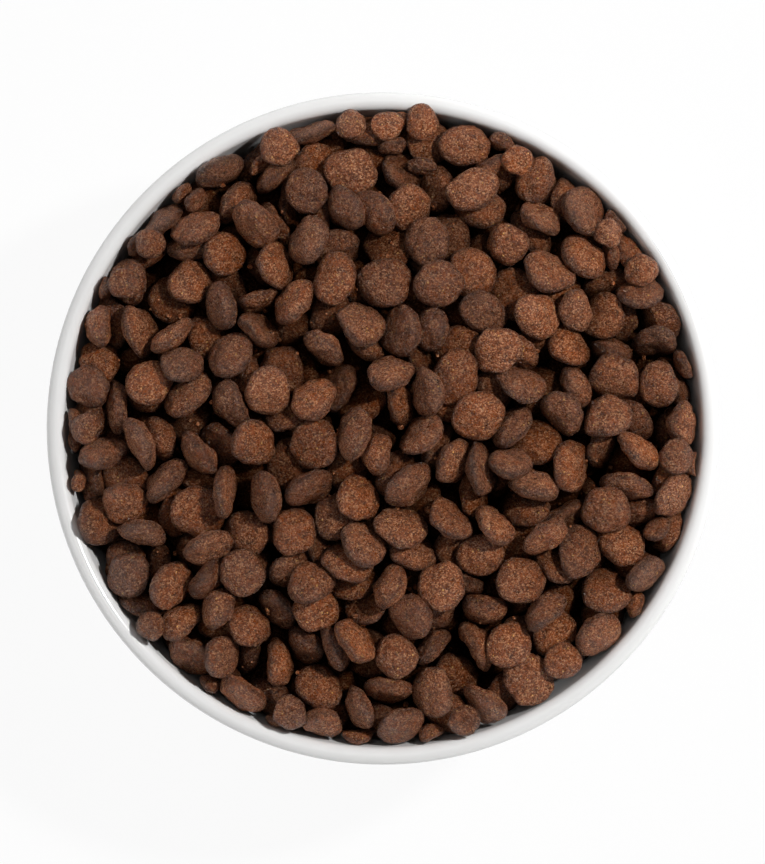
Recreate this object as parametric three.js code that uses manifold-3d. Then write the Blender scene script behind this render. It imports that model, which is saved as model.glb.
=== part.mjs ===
// A round glazed bowl heaped with dry, lens-shaped kibble.
// Millimetres, +Z up. The origin is on the bowl's axis, on the surface that its foot ring stands on.
import * as THREE from "three";
import { mergeVertices } from "three/addons/utils/BufferGeometryUtils.js";
import Module from "manifold-3d";

// Bowl
const BOWL_DIAMETER = 150; // over the rim
const BOWL_HEIGHT = 58;
const WALL = 4; // also the rim's width, so the rim is a full round
const WALL_LEAN = 8; // degrees from upright, opening upwards
const BASE_THICKNESS = 5;
const INNER_CORNER = 18; // radius between the wall and the floor
const FOOT_DIAMETER = 100;
const FOOT_WIDTH = 6;
const FOOT_HEIGHT = 3;
const FOOT_EDGE = 1; // radius of the foot ring's edges

// Kibble
const KIBBLE_DIAMETER = 10.4;
const KIBBLE_THICKNESS = 4.7;
const SIZE_SPREAD = 0.14; // share by which one kibble differs from the next
const MOST_TILT = 75; // degrees from lying flat; steep ones are more common than flat ones
// Half sections, as shares of the half diameter and the half thickness: a bedded one has a plain underside
const LOOSE_PROFILE = [[0, -1], [0.66, -0.74], [1, 0], [0.66, 0.74], [0, 1]];
const BEDDED_PROFILE = [[0, -1], [1, 0], [0.66, 0.74], [0, 1]];

// Heap
const EDGE_DROP = 1; // how far the heap's surface lies under the rim at the wall
const HEAP_RISE = 12; // how far it stands over the rim at the centre
const POURED_DEPTH = 15; // the top of the heap, which is poured kibble by kibble
const RIM_ROOM = 3; // from the rim's inner edge to the middle of the nearest kibble
const SEAT_GAP = 0.3; // between pieces that touch
const HOLD = 2; // the least depth that a kibble of the bed is sunk in it
const LEAST_SHOWN = 1.5; // a kibble that stands out of the bed by less is left in it
const LOOSE_COUNT = 52; // kibbles that lie free on top, each a piece of its own

// Pour
const POUR_SEED = 40;
const TRIES = 40; // places that each kibble may fall to
const SHAKES = 80; // small moves that may settle it further
const SHAKE_SHIFT = 1.1;
const SHAKE_TILT = 5; // degrees
const SHAKE_HEADING = 24; // degrees
const LEAST_SINK = 0.5; // a kibble whose middle would lie higher under the heap's surface is left out
const MOST_LEFT_OUT = 260; // the pour ends when so many have found no room

// Facets
const BOWL_SIDES = 40;
const LOOSE_SIDES = 8;
const BED_SIDES = 6;
const BOWL_CHORD = 0.3; // the most that a chord departs from its arc
const FILL_CHORD = 1; // the same for the hidden mass inside the bowl
const DOME_STEPS = 4;

const wasm = await Module();
wasm.setup();

// Worked out from the sizes above
const { degToRad } = THREE.MathUtils;
const lean = degToRad(WALL_LEAN);
const rimRound = WALL / 2;
const rimMiddle = BOWL_DIAMETER / 2 - rimRound;
// The radii where the wall's two faces, drawn on, would meet the rim's level
const rimOuter = rimMiddle + rimRound * (Math.tan(lean) + 1 / Math.cos(lean));
const rimInner = rimMiddle + rimRound * (Math.tan(lean) - 1 / Math.cos(lean));
const floorLevel = FOOT_HEIGHT + BASE_THICKNESS;
const wallRadius = (rimRadius, z) => rimRadius - (BOWL_HEIGHT - z) * Math.tan(lean);

const glaze = new THREE.MeshStandardMaterial({ color: 0xf4f3f1, roughness: 0.12, metalness: 0 });
const crumb = new THREE.MeshStandardMaterial({ color: 0x5d3d2b, roughness: 0.95, metalness: 0 });

// A profile of straight runs whose corners, given as [radius, height, fillet], are rounded by true arcs.
function roundedProfile(corners, chord) {
  const at = corners.map(([r, z]) => new THREE.Vector2(r, z));
  const points = [at[0]];
  for (let i = 1; i < at.length - 1; i++) {
    const fillet = corners[i][2] ?? 0;
    if (fillet === 0) {
      points.push(at[i]);
      continue;
    }
    const back = at[i - 1].clone().sub(at[i]).normalize();
    const ahead = at[i + 1].clone().sub(at[i]).normalize();
    const half = Math.acos(back.dot(ahead)) / 2;
    const centre = back.clone().add(ahead).setLength(fillet / Math.sin(half)).add(at[i]);
    const from = back.multiplyScalar(fillet / Math.tan(half)).add(at[i]).sub(centre);
    const to = ahead.multiplyScalar(fillet / Math.tan(half)).add(at[i]).sub(centre);
    const turn = Math.atan2(from.cross(to), from.dot(to));
    const stepTurn = 2 * Math.acos(Math.max(0, 1 - chord / fillet));
    const steps = Math.ceil(Math.abs(turn) / stepTurn);
    for (let s = 0; s <= steps; s++) {
      points.push(from.clone().rotateAround(new THREE.Vector2(), (turn * s) / steps).add(centre));
    }
  }
  points.push(at[at.length - 1]);
  return points;
}

// A profile turned about the Z axis.
const turned = (points, sides) => new THREE.LatheGeometry(points, sides).rotateX(Math.PI / 2);

function solidOf(geometry) {
  const bare = geometry.clone();
  bare.deleteAttribute("normal");
  bare.deleteAttribute("uv");
  const merged = mergeVertices(bare);
  return new wasm.Manifold(
    new wasm.Mesh({
      numProp: 3,
      vertProperties: new Float32Array(merged.attributes.position.array),
      triVerts: new Uint32Array(merged.index.array),
    }),
  );
}

function geometryOf(solid) {
  const mesh = solid.getMesh();
  return new THREE.BufferGeometry()
    .setAttribute("position", new THREE.BufferAttribute(mesh.vertProperties, 3))
    .setIndex(new THREE.BufferAttribute(mesh.triVerts, 1));
}

function bowlGeometry() {
  const footOuter = FOOT_DIAMETER / 2;
  const footInner = footOuter - FOOT_WIDTH;
  const corners = [
    [0, FOOT_HEIGHT],
    [footInner, FOOT_HEIGHT, FOOT_EDGE],
    [footInner, 0, FOOT_EDGE],
    [footOuter, 0, FOOT_EDGE],
    [footOuter, FOOT_HEIGHT, FOOT_EDGE],
    [wallRadius(rimOuter, FOOT_HEIGHT), FOOT_HEIGHT, INNER_CORNER + WALL],
    [rimOuter, BOWL_HEIGHT, rimRound],
    [rimInner, BOWL_HEIGHT, rimRound],
    [wallRadius(rimInner, floorLevel), floorLevel, INNER_CORNER],
    [0, floorLevel],
  ];
  return turned(roundedProfile(corners, BOWL_CHORD), BOWL_SIDES);
}

// The heap's mean surface: a shallow dome from just under the rim.
function heapSurface(r) {
  return BOWL_HEIGHT - EDGE_DROP + (HEAP_RISE + EDGE_DROP) * (1 - (r / rimInner) ** 2);
}

// The height of the bowl at a radius, as a falling kibble meets it.
function bowlSurface(r) {
  const across = Math.abs(r - rimMiddle) / rimRound;
  if (across < 1) return BOWL_HEIGHT - rimRound * (1 - Math.sqrt(1 - across * across));
  return r > rimMiddle ? -Infinity : BOWL_HEIGHT - (rimInner - r) / Math.tan(lean);
}

// Numbers from 0 to 1 that are the same on every run.
function seeded(seed) {
  const factor = 1664525;
  const step = 1013904223;
  const range = 2 ** 32;
  let state = seed;
  return () => {
    state = (state * factor + step) % range;
    return state / range;
  };
}

// A kibble's turn: a spin about its own axis, then a tilt away from lying flat, towards a heading.
function turnOf({ spin, tilt, heading }) {
  const axis = new THREE.Vector3(-Math.sin(heading), Math.cos(heading), 0);
  return new THREE.Quaternion()
    .setFromAxisAngle(axis, tilt)
    .multiply(new THREE.Quaternion().setFromAxisAngle(new THREE.Vector3(0, 0, 1), spin));
}

// The ellipsoid that a kibble fills, grown by a margin, as the numbers of its quadratic form.
function quadricOf(kibble, margin) {
  const turn = new THREE.Matrix4().makeRotationFromQuaternion(turnOf(kibble)).elements;
  const along = (k, axis) => turn[4 * k + axis] / (kibble.half[k] + margin);
  const form = (a, b) => [0, 1, 2].reduce((sum, k) => sum + along(k, a) * along(k, b), 0);
  return {
    xx: form(0, 0),
    xy: form(0, 1),
    yy: form(1, 1),
    xz: form(0, 2),
    yz: form(1, 2),
    zz: form(2, 2),
  };
}

// From a kibble's middle to its highest point, which is as far as the lowest one.
function topOf(kibble) {
  const turn = new THREE.Matrix4().makeRotationFromQuaternion(turnOf(kibble)).elements;
  const rise = kibble.half.map((half, k) => turn[4 * k + 2] * half ** 2);
  const along = (axis) => rise.reduce((sum, share, k) => sum + turn[4 * k + axis] * share, 0);
  return new THREE.Vector3(along(0), along(1), along(2)).divideScalar(Math.sqrt(along(2)));
}

// How far the highest (side 1) or lowest (side -1) point of a kibble lies above the heap's surface there.
function overHeap(kibble, side) {
  const point = topOf(kibble).multiplyScalar(side).add(kibble);
  return point.z - heapSurface(Math.hypot(point.x, point.y));
}

// The heap so far, as a grid of heights. No point lies further from the middle of a cell than the gap
// between pieces.
function heapGrid() {
  const cell = Math.SQRT2 * SEAT_GAP;
  const largest = (KIBBLE_DIAMETER / 2) * (1 + SIZE_SPREAD) + SEAT_GAP;
  const reach = Math.ceil(largest / cell);
  const middle = Math.ceil(rimOuter / cell) + reach;
  const across = 2 * middle + 1;
  const heights = new Float64Array(across * across);
  for (let i = 0; i < across; i++) {
    for (let j = 0; j < across; j++) {
      const r = Math.hypot(i - middle, j - middle) * cell;
      // The wall is steep, so its gap is taken sideways as well as upwards
      const bowl = bowlSurface(r + 2 * SEAT_GAP) + SEAT_GAP;
      heights[i * across + j] = Math.max(bowl, heapSurface(r) - POURED_DEPTH);
    }
  }

  // Calls visit(index, under, over) for each cell in a kibble's shadow, with its two faces' heights there.
  function eachCell(kibble, margin, visit) {
    const { xx, xy, yy, xz, yz, zz } = quadricOf(kibble, margin);
    const i0 = Math.round(kibble.x / cell) + middle;
    const j0 = Math.round(kibble.y / cell) + middle;
    for (let i = i0 - reach; i <= i0 + reach; i++) {
      for (let j = j0 - reach; j <= j0 + reach; j++) {
        const dx = (i - middle) * cell - kibble.x;
        const dy = (j - middle) * cell - kibble.y;
        const slope = xz * dx + yz * dy;
        const inside = slope * slope - zz * (xx * dx * dx + 2 * xy * dx * dy + yy * dy * dy - 1);
        if (inside < 0) continue;
        const root = Math.sqrt(inside);
        visit(i * across + j, (-slope - root) / zz, (-slope + root) / zz);
      }
    }
  }

  function restHeight(kibble) {
    let height = -Infinity;
    eachCell(kibble, 0, (index, under) => {
      height = Math.max(height, heights[index] - under);
    });
    return height;
  }

  function lay(kibble) {
    eachCell(kibble, SEAT_GAP, (index, under, over) => {
      heights[index] = Math.max(heights[index], kibble.z + over);
    });
  }

  return { restHeight, lay };
}

// Pours kibbles one by one. Each falls where the heap is lowest, is shaken a little, and keeps each
// shake that lets it sink.
function pour() {
  const grid = heapGrid();
  const random = seeded(POUR_SEED);
  const near = (middle, reach) => middle + reach * (2 * random() - 1);
  const limit = rimInner - RIM_ROOM;
  const deeper = (a, b) => a.sink > b.sink;
  const lower = (a, b) => a.z < b.z;
  const kibbles = [];
  let leftOut = 0;
  while (leftOut < MOST_LEFT_OUT) {
    const sizes = [KIBBLE_DIAMETER, KIBBLE_DIAMETER, KIBBLE_THICKNESS];
    const half = sizes.map((size) => near(size / 2, (size / 2) * SIZE_SPREAD));
    const tilt = degToRad(MOST_TILT) * Math.sqrt(random());
    let best = { sink: -Infinity };
    const drop = (pose, isBetter) => {
      const r = Math.hypot(pose.x, pose.y);
      if (r > limit) return;
      const kibble = { half, ...pose };
      kibble.z = grid.restHeight(kibble);
      kibble.sink = heapSurface(r) - kibble.z;
      if (isBetter(kibble, best)) best = kibble;
    };
    for (let n = 0; n < TRIES; n++) {
      const r = limit * Math.sqrt(random());
      const angle = 2 * Math.PI * random();
      const spin = 2 * Math.PI * random();
      const heading = 2 * Math.PI * random();
      drop({ x: r * Math.cos(angle), y: r * Math.sin(angle), spin, tilt, heading }, deeper);
    }
    for (let n = 0; n < SHAKES; n++) {
      const x = near(best.x, SHAKE_SHIFT);
      const y = near(best.y, SHAKE_SHIFT);
      const shakenTilt = near(best.tilt, degToRad(SHAKE_TILT));
      const heading = near(best.heading, degToRad(SHAKE_HEADING));
      drop({ x, y, spin: best.spin, tilt: shakenTilt, heading }, lower);
    }
    if (best.sink < LEAST_SINK) {
      leftOut++;
    } else {
      grid.lay(best);
      kibbles.push(best);
    }
  }
  return kibbles;
}

// One kibble: a lens with a blunt edge, grown on all sides by a margin.
function kibbleGeometry(kibble, profile, sides, margin = 0) {
  const points = profile.map(([r, z]) => new THREE.Vector2(r, z));
  return turned(points, sides)
    .scale(...kibble.half.map((half) => half + margin))
    .applyQuaternion(turnOf(kibble))
    .translate(kibble.x, kibble.y, kibble.z);
}

// The packed mass under the loose kibbles, with a seat for each of them and with the bedded kibbles that
// show standing out of its top.
function bedSolid(bedded, loose, level) {
  const fillWall = rimInner - SEAT_GAP / Math.cos(lean);
  const fillFloor = floorLevel + SEAT_GAP;
  const edgeLevel = heapSurface(rimInner) + level;
  const edgeRadius = wallRadius(fillWall, edgeLevel);
  const corners = [
    [0, fillFloor],
    [wallRadius(fillWall, fillFloor), fillFloor, INNER_CORNER],
    [edgeRadius, edgeLevel],
  ];
  for (let step = 1; step <= DOME_STEPS; step++) {
    const r = edgeRadius * (1 - step / DOME_STEPS);
    corners.push([r, heapSurface(r) + level]);
  }
  const core = solidOf(turned(roundedProfile(corners, FILL_CHORD), BOWL_SIDES / 2));
  const seats = loose.map((k) => solidOf(kibbleGeometry(k, LOOSE_PROFILE, LOOSE_SIDES, SEAT_GAP)));
  const shown = bedded.filter((k) => overHeap(k, 1) > level + LEAST_SHOWN);
  const lenses = shown.map((k) => solidOf(kibbleGeometry(k, BEDDED_PROFILE, BED_SIDES)));
  return wasm.Manifold.union([core.subtract(wasm.Manifold.union(seats)), ...lenses]);
}

// The kibbles with the highest undersides lie loose. The bed rises to hold every other one.
const ranked = pour().sort((a, b) => overHeap(b, -1) - overHeap(a, -1));
const loose = ranked.slice(0, LOOSE_COUNT);
const bedded = ranked.slice(LOOSE_COUNT);
const bedLevel = overHeap(bedded[0], -1) + HOLD;

const part = new THREE.Group();
function add(name, geometry, material) {
  const mesh = new THREE.Mesh(geometry, material);
  mesh.name = name;
  part.add(mesh);
}

add("bowl", bowlGeometry(), glaze);
add("kibble_bed", geometryOf(bedSolid(bedded, loose, bedLevel)), crumb);
loose.forEach((kibble, n) => {
  const name = `kibble_${String(n + 1).padStart(2, "0")}`;
  add(name, kibbleGeometry(kibble, LOOSE_PROFILE, LOOSE_SIDES), crumb);
});

export default part;
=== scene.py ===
# %% [markdown]
# # A bowl of dry pet food
# The object is a white glazed bowl, heaped with dark, lens-shaped kibble and seen from straight above.
# The solids of the bowl and the kibble are already made and packed. This lesson loads them as a fixed
# frame and gives each of them the shape and the finish of the real thing. The frame comes first, because
# every piece made later has to lie where the solids lie.

import math

import bpy
import numpy as np
from mathutils import Matrix, Vector


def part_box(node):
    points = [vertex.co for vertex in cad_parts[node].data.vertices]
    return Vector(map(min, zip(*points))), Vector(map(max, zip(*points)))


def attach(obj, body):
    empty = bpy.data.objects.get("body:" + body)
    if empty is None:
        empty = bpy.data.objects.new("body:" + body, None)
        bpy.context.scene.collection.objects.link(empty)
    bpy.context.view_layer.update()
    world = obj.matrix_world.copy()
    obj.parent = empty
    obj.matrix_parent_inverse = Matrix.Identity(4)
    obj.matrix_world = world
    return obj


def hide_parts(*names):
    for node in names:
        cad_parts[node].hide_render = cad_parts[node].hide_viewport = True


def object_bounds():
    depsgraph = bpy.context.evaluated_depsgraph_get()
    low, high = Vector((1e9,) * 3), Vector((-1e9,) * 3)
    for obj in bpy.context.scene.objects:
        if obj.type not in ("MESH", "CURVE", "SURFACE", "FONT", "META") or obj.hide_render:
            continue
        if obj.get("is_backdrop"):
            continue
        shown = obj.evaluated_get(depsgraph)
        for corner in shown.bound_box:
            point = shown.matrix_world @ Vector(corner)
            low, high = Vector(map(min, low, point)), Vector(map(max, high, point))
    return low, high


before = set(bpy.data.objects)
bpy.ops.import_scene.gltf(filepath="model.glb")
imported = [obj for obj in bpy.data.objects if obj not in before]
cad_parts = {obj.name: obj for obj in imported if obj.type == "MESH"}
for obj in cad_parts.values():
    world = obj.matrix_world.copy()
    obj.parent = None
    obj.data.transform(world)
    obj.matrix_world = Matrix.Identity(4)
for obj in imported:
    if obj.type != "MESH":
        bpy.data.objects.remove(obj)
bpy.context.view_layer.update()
scene = bpy.context.scene
MM = 0.001  # the sizes below are in millimetres, and Blender's are in metres

# %% [markdown]
# ## The sizes
# A maker would start from a few sizes: the bowl's width, height and wall, and a kibble's width and
# thickness. They are the same values as in the solids, so that nothing here needs to be fitted by eye.

# %% Name the sizes
BOWL_DIAMETER = 150
BOWL_HEIGHT = 58
WALL = 4
WALL_LEAN = math.radians(8)
BASE_THICKNESS = 5
INNER_CORNER = 18
FOOT_DIAMETER = 100
FOOT_WIDTH = 6
FOOT_HEIGHT = 3
FOOT_EDGE = 1

rim_round = WALL / 2
rim_middle = BOWL_DIAMETER / 2 - rim_round
rim_outer = rim_middle + rim_round * (math.tan(WALL_LEAN) + 1 / math.cos(WALL_LEAN))
rim_inner = rim_middle + rim_round * (math.tan(WALL_LEAN) - 1 / math.cos(WALL_LEAN))
floor_level = FOOT_HEIGHT + BASE_THICKNESS
print("bowl: inner edge of the rim at", round(rim_inner, 2), "mm from the axis")

# %% [markdown]
# ## The pour
# Real kibble is poured: each piece falls, rolls a little and comes to rest on those below it. A physics
# simulation could do that, but it takes minutes and may settle differently on another computer. The
# solids use a plain rule instead: a kibble is an ellipsoid that is let down on a grid of heights, at the
# deepest of several places, and is then shaken, keeping each shake that lets it sink. The random numbers
# come from a fixed formula, so the same rule gives the same heap here. First come the sizes of the heap
# and the two surfaces that bound it, the dome of kibble and the inside of the bowl.

# %% Name the sizes of the heap
KIBBLE_DIAMETER = 10.4
KIBBLE_THICKNESS = 4.7
SIZE_SPREAD = 0.14
MOST_TILT = math.radians(75)
EDGE_DROP = 1
HEAP_RISE = 12
POURED_DEPTH = 15
RIM_ROOM = 3
SEAT_GAP = 0.3
LOOSE_COUNT = 52

POUR_SEED = 40
TRIES = 40
SHAKES = 80
SHAKE_SHIFT = 1.1
SHAKE_TILT = math.radians(5)
SHAKE_HEADING = math.radians(24)
LEAST_SINK = 0.5
MOST_LEFT_OUT = 260


def heap_surface(r):
    return BOWL_HEIGHT - EDGE_DROP + (HEAP_RISE + EDGE_DROP) * (1 - (r / rim_inner) ** 2)


def bowl_surface(r):
    across = np.abs(r - rim_middle) / rim_round
    on_rim = BOWL_HEIGHT - rim_round * (1 - np.sqrt(np.maximum(0, 1 - across * across)))
    on_wall = BOWL_HEIGHT - (rim_inner - r) / math.tan(WALL_LEAN)
    return np.where(across < 1, on_rim, np.where(r > rim_middle, -np.inf, on_wall))


print("heap: top at", heap_surface(0), "mm, edge at", heap_surface(rim_inner), "mm")

# %% [markdown]
# A kibble is described by its place, its three half sizes and its turn: a spin about its own axis, then a
# tilt towards a heading. Blender's own matrices are of single precision, and with them a heap that is built
# up piece by piece would drift away from the solids, so the turn is a numpy matrix of full precision.

# %% Describe one kibble


class Kibble:
    def __init__(self, half, x, y, spin, tilt, heading):
        self.half = half
        self.x, self.y, self.z = x, y, 0
        self.spin, self.tilt, self.heading = spin, tilt, heading
        towards = np.array([math.cos(heading), math.sin(heading), 0])
        aside = np.array([-math.sin(heading), math.cos(heading), 0])
        down_slope = math.cos(tilt) * towards - math.sin(tilt) * np.array([0, 0, 1])
        first, second = math.cos(spin - heading), math.sin(spin - heading)
        axis = math.sin(tilt) * towards + math.cos(tilt) * np.array([0, 0, 1])
        self.turn = np.column_stack(
            [first * down_slope + second * aside, first * aside - second * down_slope, axis]
        )

    def form(self, margin):
        spread = self.turn / (self.half + margin)
        return spread @ spread.T

    def over_heap(self, side):
        """How far its highest (side 1) or lowest (side -1) point lies above the heap's surface."""
        rise = self.turn @ (self.turn[2] * self.half**2)
        point = np.array([self.x, self.y, self.z]) + side * rise / math.sqrt(rise[2])
        return point[2] - heap_surface(math.hypot(point[0], point[1]))


print("kibble:", KIBBLE_DIAMETER, "by", KIBBLE_THICKNESS, "mm, give or take", round(100 * SIZE_SPREAD), "%")

# %% [markdown]
# The grid holds the height of the heap so far. Only the cells in a kibble's shadow matter, so each test
# looks at a small window of it, where numpy works out the two faces of the ellipsoid at once.

# %% Make the grid of heights


class HeapGrid:
    def __init__(self):
        cell = math.sqrt(2) * SEAT_GAP
        largest = (KIBBLE_DIAMETER / 2) * (1 + SIZE_SPREAD) + SEAT_GAP
        self.cell = cell
        self.reach = math.ceil(largest / cell)
        self.middle = math.ceil(rim_outer / cell) + self.reach
        count = np.arange(2 * self.middle + 1) - self.middle
        self.steps = count * cell
        r = np.hypot(count[:, None], count[None, :]) * cell
        bowl = bowl_surface(r + 2 * SEAT_GAP) + SEAT_GAP
        self.heights = np.maximum(bowl, heap_surface(r) - POURED_DEPTH)

    def shadow(self, kibble, margin):
        """A kibble's window of the grid, the cells of it that it covers, and its two faces there."""
        i = math.floor(kibble.x / self.cell + 0.5) + self.middle
        j = math.floor(kibble.y / self.cell + 0.5) + self.middle
        rows = slice(i - self.reach, i + self.reach + 1)
        columns = slice(j - self.reach, j + self.reach + 1)
        dx = (self.steps[rows] - kibble.x)[:, None]
        dy = (self.steps[columns] - kibble.y)[None, :]
        (xx, xy, xz), (_, yy, yz), (_, _, zz) = kibble.form(margin)
        slope = xz * dx + yz * dy
        inside = slope * slope - zz * (xx * dx * dx + 2 * xy * dx * dy + yy * dy * dy - 1)
        covered = inside >= 0
        root = np.sqrt(np.maximum(inside, 0))
        return (rows, columns), covered, (-slope - root) / zz, (-slope + root) / zz

    def rest_height(self, kibble):
        window, covered, under, _ = self.shadow(kibble, 0)
        return float(np.where(covered, self.heights[window] - under, -np.inf).max())

    def lay(self, kibble):
        window, covered, _, over = self.shadow(kibble, SEAT_GAP)
        raised = np.maximum(self.heights[window], kibble.z + over)
        self.heights[window] = np.where(covered, raised, self.heights[window])


print("grid:", len(HeapGrid().steps), "cells across")

# %% [markdown]
# Python has random numbers of its own, but the solids were made in another language. A formula in which each
# number follows from the one before it is easy to write in both, and it gives the same numbers in both.

# %% Draw random numbers
FACTOR, STEP, ROUND = 1664525, 1013904223, 2**32  # values that are often used for it


def seeded(seed):
    """Numbers from 0 to 1 that are the same on every run."""
    state = seed

    def draw():
        nonlocal state
        state = (state * FACTOR + STEP) % ROUND
        return state / ROUND

    return draw


def between(random, low, high):
    return low + (high - low) * random()


def near(random, middle, reach):
    return middle + reach * (2 * random() - 1)


print("random: the first number of the pour is", round(seeded(POUR_SEED)(), 4))

# %% [markdown]
# The pour itself draws its numbers in the same order as the solids did. It ends once a set number of kibbles
# have found no place that is deep enough.

# %% Pour the kibble


def pour():
    grid = HeapGrid()
    random = seeded(POUR_SEED)
    limit = rim_inner - RIM_ROOM
    poured = []
    left_out = 0

    def let_down(kibble):
        kibble.z = grid.rest_height(kibble)
        kibble.sink = heap_surface(math.hypot(kibble.x, kibble.y)) - kibble.z
        return kibble

    while left_out < MOST_LEFT_OUT:
        sizes = (KIBBLE_DIAMETER, KIBBLE_DIAMETER, KIBBLE_THICKNESS)
        half = np.array([near(random, size / 2, (size / 2) * SIZE_SPREAD) for size in sizes])
        tilt = MOST_TILT * math.sqrt(random())
        best = None
        for _ in range(TRIES):
            r = limit * math.sqrt(random())
            angle = math.tau * random()
            spin = math.tau * random()
            heading = math.tau * random()
            x, y = r * math.cos(angle), r * math.sin(angle)
            tried = let_down(Kibble(half, x, y, spin, tilt, heading))
            if best is None or tried.sink > best.sink:
                best = tried
        for _ in range(SHAKES):
            x, y = near(random, best.x, SHAKE_SHIFT), near(random, best.y, SHAKE_SHIFT)
            shaken_tilt = near(random, best.tilt, SHAKE_TILT)
            heading = near(random, best.heading, SHAKE_HEADING)
            if math.hypot(x, y) > limit:
                continue
            shaken = let_down(Kibble(half, x, y, best.spin, shaken_tilt, heading))
            if shaken.z < best.z:
                best = shaken
        if best.sink < LEAST_SINK:
            left_out += 1
        else:
            grid.lay(best)
            poured.append(best)
    return poured


poured = pour()
print("pour:", len(poured), "kibbles")

# %% [markdown]
# The kibbles with the highest undersides lie loose on top. Each of those is a solid of its own, so the
# middle of that solid's box tells whether the two heaps agree.

# %% Find the loose kibbles
ranked = sorted(poured, key=lambda kibble: -kibble.over_heap(-1))
loose = ranked[:LOOSE_COUNT]
bedded = ranked[LOOSE_COUNT:]


def loose_node(n):
    return f"kibble_{n + 1:02d}"


apart = []
for n, kibble in enumerate(loose):
    low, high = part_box(loose_node(n))
    apart.append(((low + high) / 2 / MM - Vector((kibble.x, kibble.y, kibble.z))).length)
print("loose:", len(loose), "kibbles, at most", round(max(apart), 4), "mm from the solids")

# %% [markdown]
# A round wall and round kibbles leave a gutter between them. In the solid of the bed it is filled, and in a
# real bowl broken and smaller kibbles slip into it and lean on the wall. The same rule pours those: only
# near the wall, steep, and only where one sinks into the gutter and doesn't lie on the heap.

# %% Tuck small kibbles into the gutter
TUCK_SEED = 3
TUCK_COUNT = 60
TUCK_TRIES = 400
TUCK_PLACES = 16
TUCK_SHAKES = 30
TUCKED_SIZES = (0.5, 0.9)  # as shares of a whole kibble
TUCKED_WIDTHS = (0.8, 1.0)  # as shares of its length
TUCKED_LEANS = (math.radians(55), math.radians(85))
LEAN_SPREAD = math.radians(25)
GUTTER_WIDTH = 4
GUTTER_ROOM = 1.2
LEAST_TUCKED_SINK = 1.0
MOST_PROUD = 1.5


def tucked_kibbles():
    grid = HeapGrid()
    for kibble in poured:
        grid.lay(kibble)
    random = seeded(TUCK_SEED)
    limit = rim_inner - GUTTER_ROOM
    tucked = []

    def dropped(half, r, angle, tilt, spin, heading):
        kibble = Kibble(half, r * math.cos(angle), r * math.sin(angle), spin, tilt, heading)
        kibble.z = grid.rest_height(kibble)
        kibble.sink = heap_surface(r) - kibble.z
        return kibble, (r, angle, tilt, spin, heading)

    for _ in range(TUCK_TRIES):
        if len(tucked) == TUCK_COUNT:
            break
        share = between(random, *TUCKED_SIZES)
        width = KIBBLE_DIAMETER * between(random, *TUCKED_WIDTHS)
        half = share / 2 * np.array([KIBBLE_DIAMETER, width, KIBBLE_THICKNESS])
        tilt = between(random, *TUCKED_LEANS)
        tries = []
        for _ in range(TUCK_PLACES):
            r = limit - GUTTER_WIDTH * random()
            angle = math.tau * random()
            heading = near(random, angle + math.pi, LEAN_SPREAD)
            tries.append(dropped(half, r, angle, tilt, math.tau * random(), heading))
        best = max(tries, key=lambda tried: tried[0].sink)
        for _ in range(TUCK_SHAKES):
            r, angle, lean, spin, heading = best[1]
            r = min(limit, near(random, r, SHAKE_SHIFT))
            angle = near(random, angle, SHAKE_SHIFT / limit)
            heading = near(random, heading, SHAKE_TILT)
            shaken = dropped(half, r, angle, lean, spin, heading)
            best = max(best, shaken, key=lambda tried: tried[0].sink)
        if best[0].sink >= LEAST_TUCKED_SINK and best[0].over_heap(1) <= MOST_PROUD:
            grid.lay(best[0])
            tucked.append(best[0])
    return tucked, grid


tucked, filled_grid = tucked_kibbles()
print("gutter:", len(tucked), "small kibbles")

# %% [markdown]
# What is still open of the gutter is bridged by kibbles that lie flatter, with one edge on the rim or near
# it. The grid tells how much of the open gutter a kibble would hide, so the best of many places is taken, as
# long as the kibble doesn't stand out of the heap there.

# %% Lay kibbles over the rest of the gutter
EDGE_SEED = 5
EDGE_TRIES = 80
EDGE_PLACES = 120
EDGE_ROOM, EDGE_WIDTH = 2.4, 3.5
EDGE_SIZES = (0.6, 0.95)  # as shares of a whole kibble
MOST_EDGE_TILT = math.radians(70)
GUTTER_DEPTH = 3
LEAST_HIDDEN = 3  # square millimetres of open gutter
MOST_EDGE_PROUD = 3


def edge_kibbles(grid):
    random = seeded(EDGE_SEED)
    distance = np.hypot(grid.steps[:, None], grid.steps[None, :])
    open_level = np.where(distance < rim_inner, heap_surface(distance) - GUTTER_DEPTH, -np.inf)
    laid = []

    def hidden_by(kibble):
        window, covered, _, _ = grid.shadow(kibble, 0)
        return np.count_nonzero(covered & (grid.heights[window] < open_level[window])) * grid.cell**2

    for _ in range(EDGE_TRIES):
        share = between(random, *EDGE_SIZES)
        half = share / 2 * np.array([KIBBLE_DIAMETER, KIBBLE_DIAMETER, KIBBLE_THICKNESS])
        best, most_hidden = None, LEAST_HIDDEN
        for _ in range(EDGE_PLACES):
            r = rim_inner - EDGE_ROOM - EDGE_WIDTH * random()
            angle = math.tau * random()
            tilt = MOST_EDGE_TILT * random()
            heading = math.tau * random()
            kibble = Kibble(half, r * math.cos(angle), r * math.sin(angle), 0, tilt, heading)
            kibble.z = grid.rest_height(kibble)
            hidden = hidden_by(kibble)
            if hidden > most_hidden and kibble.over_heap(1) <= MOST_EDGE_PROUD:
                best, most_hidden = kibble, hidden
        if best is not None:
            grid.lay(best)
            laid.append(best)
    return laid


at_edge = edge_kibbles(filled_grid)
print("gutter:", len(at_edge), "kibbles over it")

# %% [markdown]
# Kibbles that lie wholly under others are never seen. A map of which kibble is topmost in each cell of the
# grid tells how much of each one shows. The hidden ones aren't made, and those that only peep out between
# others are made with fewer faces.

# %% Find the kibbles that show
LEAST_SEEN = 0.5  # square millimetres, below which a kibble counts as hidden
WELL_SEEN = 15


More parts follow.
